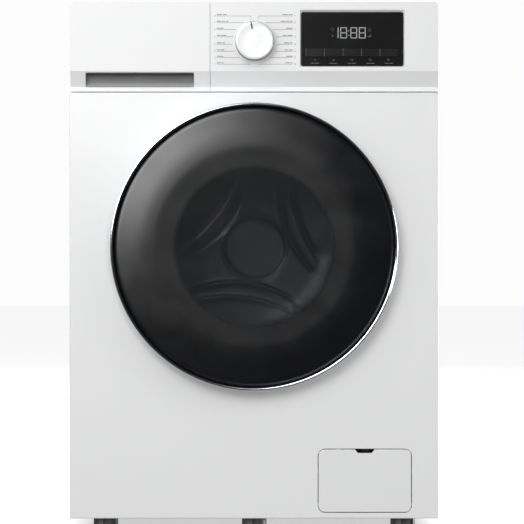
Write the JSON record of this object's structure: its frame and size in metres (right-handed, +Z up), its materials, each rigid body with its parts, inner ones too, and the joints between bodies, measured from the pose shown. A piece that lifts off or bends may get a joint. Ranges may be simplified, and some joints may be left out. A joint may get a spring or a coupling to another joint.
{
  "type": "front load washing machine",
  "caption": "White free-standing washer with a round smoked porthole door, detergent drawer, programme knob and a dark display strip.",
  "frame": {"origin": "on the floor under the centre of the machine", "axes": "+Z up, front faces -Y, +X to the right seen from the front"},
  "size_m": [0.597, 0.58, 0.85],
  "materials": {
    "white_enamel": "gloss enamel",
    "white_plastic": "satin moulded",
    "white_laminate": "fine grained laminate",
    "smoked_cover": "polished smoked",
    "smoked_window": "polished",
    "button_black": "satin",
    "black_plastic": "moulded",
    "grey_plastic": "moulded",
    "dark_grey_plastic": "ribbed",
    "polished_trim": "polished",
    "bowl_glass": "clear",
    "gasket_rubber": "matte",
    "black_rubber": "matte",
    "stainless": "brushed",
    "zinc_steel": "zinc plated",
    "cast_aluminium": "cast",
    "tub_plastic": "filled polypropylene",
    "concrete": "cast",
    "circuit_board": "lacquered",
    "knob_silver": "satin silver",
    "blue_plastic": "moulded"
  },
  "bodies": {
    "cabinet": {"base_tray": "dark_grey_plastic", "cabinet_shell": "white_enamel", "centre_foot": "dark_grey_plastic", "control_board": "circuit_board", "control_panel": "white_plastic", "dispenser_housing": "grey_plastic", "dispenser_tub_hose": "black_rubber", "display_window": "smoked_window", "door_gasket": "gasket_rubber", "door_lock": "black_plastic", "drain_outlet": "black_plastic", "drain_outlet_hose": "grey_plastic", "drain_pump_body": "grey_plastic", "drive_belt": "black_rubber", "front_counterweight": "concrete", "front_panel": "white_enamel", "heater": "stainless", "hinge_bracket": "cast_aluminium", "inlet_valve": "grey_plastic", "mains_cord_gland": "black_plastic", "motor_housing": "zinc_steel", "rear_access_cover": "zinc_steel", "rear_cover_screws": "zinc_steel", "sump_hose": "black_rubber", "suspension_springs": "zinc_steel", "tub_bearings": "zinc_steel", "tub_dampers": "dark_grey_plastic", "tub_front": "tub_plastic", "tub_rear": "tub_plastic", "valve_hose": "black_rubber", "worktop": "white_laminate"},
    "drawer": {"drawer_front": "white_plastic", "drawer_tray": "grey_plastic", "siphon_cap": "blue_plastic"},
    "door": {"door_cover": "smoked_cover", "door_front_frame": "black_plastic", "door_rim": "polished_trim", "door_glass": "bowl_glass", "door_rear_frame": "white_plastic", "door_hinge_leaf": "cast_aluminium"},
    "hook": {"latch_hook": "zinc_steel"},
    "knob": {"selector_knob": "knob_silver"},
    "drum": {"drum_shell": "stainless", "drum_back": "stainless", "drum_lifters": "grey_plastic", "drum_spider_shaft": "cast_aluminium", "drum_pulley": "cast_aluminium"},
    "rotor": {"motor_rotor": "zinc_steel"},
    "impeller": {"pump_impeller": "blue_plastic"},
    "lint_filter": {"pump_filter": "blue_plastic"},
    "flap": {"filter_flap": "white_plastic"},
    "foot_1": {"levelling_foot_1": "dark_grey_plastic"},
    "foot_2": {"levelling_foot_2": "dark_grey_plastic"},
    "foot_3": {"levelling_foot_3": "dark_grey_plastic"},
    "foot_4": {"levelling_foot_4": "dark_grey_plastic"},
    "button_1": {"option_button_1": "button_black"},
    "button_2": {"option_button_2": "button_black"},
    "button_3": {"option_button_3": "button_black"},
    "button_4": {"option_button_4": "button_black"},
    "button_5": {"option_button_5": "button_black"}
  },
  "joints": [
    {"name": "door_hinge", "type": "hinge", "parent": "cabinet", "child": "door", "pos_m": [-0.211, -0.27, 0.4557], "axis": [0, 0, -1], "range_deg": [0, 95]},
    {"name": "latch_hook_pivot", "type": "hinge", "parent": "door", "child": "hook", "pos_m": [0.203, -0.2644, 0.4557], "axis": [0, 0, 1], "range_deg": [0, 9], "stiffness_Nm_per_rad": 0.3, "springref_deg": -5.73},
    {"name": "drawer_slide", "type": "slide", "parent": "cabinet", "child": "drawer", "axis": [0, -1, 0], "range_m": [0, 0.17]},
    {"name": "selector_turn", "type": "hinge", "parent": "cabinet", "child": "knob", "pos_m": [0.0007, -0.27, 0.7863], "axis": [0, -1, 0], "continuous": true},
    {"name": "drum_spin", "type": "hinge", "parent": "cabinet", "child": "drum", "pos_m": [0, 0, 0.4557], "axis": [0, -1, 0], "continuous": true},
    {"name": "motor_spin", "type": "hinge", "parent": "cabinet", "child": "rotor", "pos_m": [0, 0.12, 0.122], "axis": [0, -1, 0], "continuous": true},
    {"name": "impeller_spin", "type": "hinge", "parent": "cabinet", "child": "impeller", "pos_m": [0.179, -0.13, 0.082], "axis": [0, -1, 0], "continuous": true},
    {"name": "lint_filter_turn", "type": "hinge", "parent": "cabinet", "child": "lint_filter", "pos_m": [0.179, -0.22, 0.082], "axis": [0, -1, 0], "range_deg": [0, 90]},
    {"name": "filter_flap_hinge", "type": "hinge", "parent": "cabinet", "child": "flap", "pos_m": [0.179, -0.2462, 0.0385], "axis": [1, 0, 0], "range_deg": [0, 90]},
    {"name": "button_1_press", "type": "slide", "parent": "cabinet", "child": "button_1", "axis": [0, 1, 0], "range_m": [0, 0.0012], "stiffness_N_per_m": 800, "springref_m": -0.0015},
    {"name": "button_2_press", "type": "slide", "parent": "cabinet", "child": "button_2", "axis": [0, 1, 0], "range_m": [0, 0.0012], "stiffness_N_per_m": 800, "springref_m": -0.0015},
    {"name": "button_3_press", "type": "slide", "parent": "cabinet", "child": "button_3", "axis": [0, 1, 0], "range_m": [0, 0.0012], "stiffness_N_per_m": 800, "springref_m": -0.0015},
    {"name": "button_4_press", "type": "slide", "parent": "cabinet", "child": "button_4", "axis": [0, 1, 0], "range_m": [0, 0.0012], "stiffness_N_per_m": 800, "springref_m": -0.0015},
    {"name": "button_5_press", "type": "slide", "parent": "cabinet", "child": "button_5", "axis": [0, 1, 0], "range_m": [0, 0.0012], "stiffness_N_per_m": 800, "springref_m": -0.0015},
    {"name": "foot_1_height", "type": "slide", "parent": "cabinet", "child": "foot_1", "axis": [0, 0, -1], "range_m": [0, 0.012]},
    {"name": "foot_2_height", "type": "slide", "parent": "cabinet", "child": "foot_2", "axis": [0, 0, -1], "range_m": [0, 0.012]},
    {"name": "foot_3_height", "type": "slide", "parent": "cabinet", "child": "foot_3", "axis": [0, 0, -1], "range_m": [0, 0.012]},
    {"name": "foot_4_height", "type": "slide", "parent": "cabinet", "child": "foot_4", "axis": [0, 0, -1], "range_m": [0, 0.012]}
  ],
  "couplings": [
    {"joint": "motor_spin", "follows": "drum_spin", "ratio": 14.5}
  ]
}
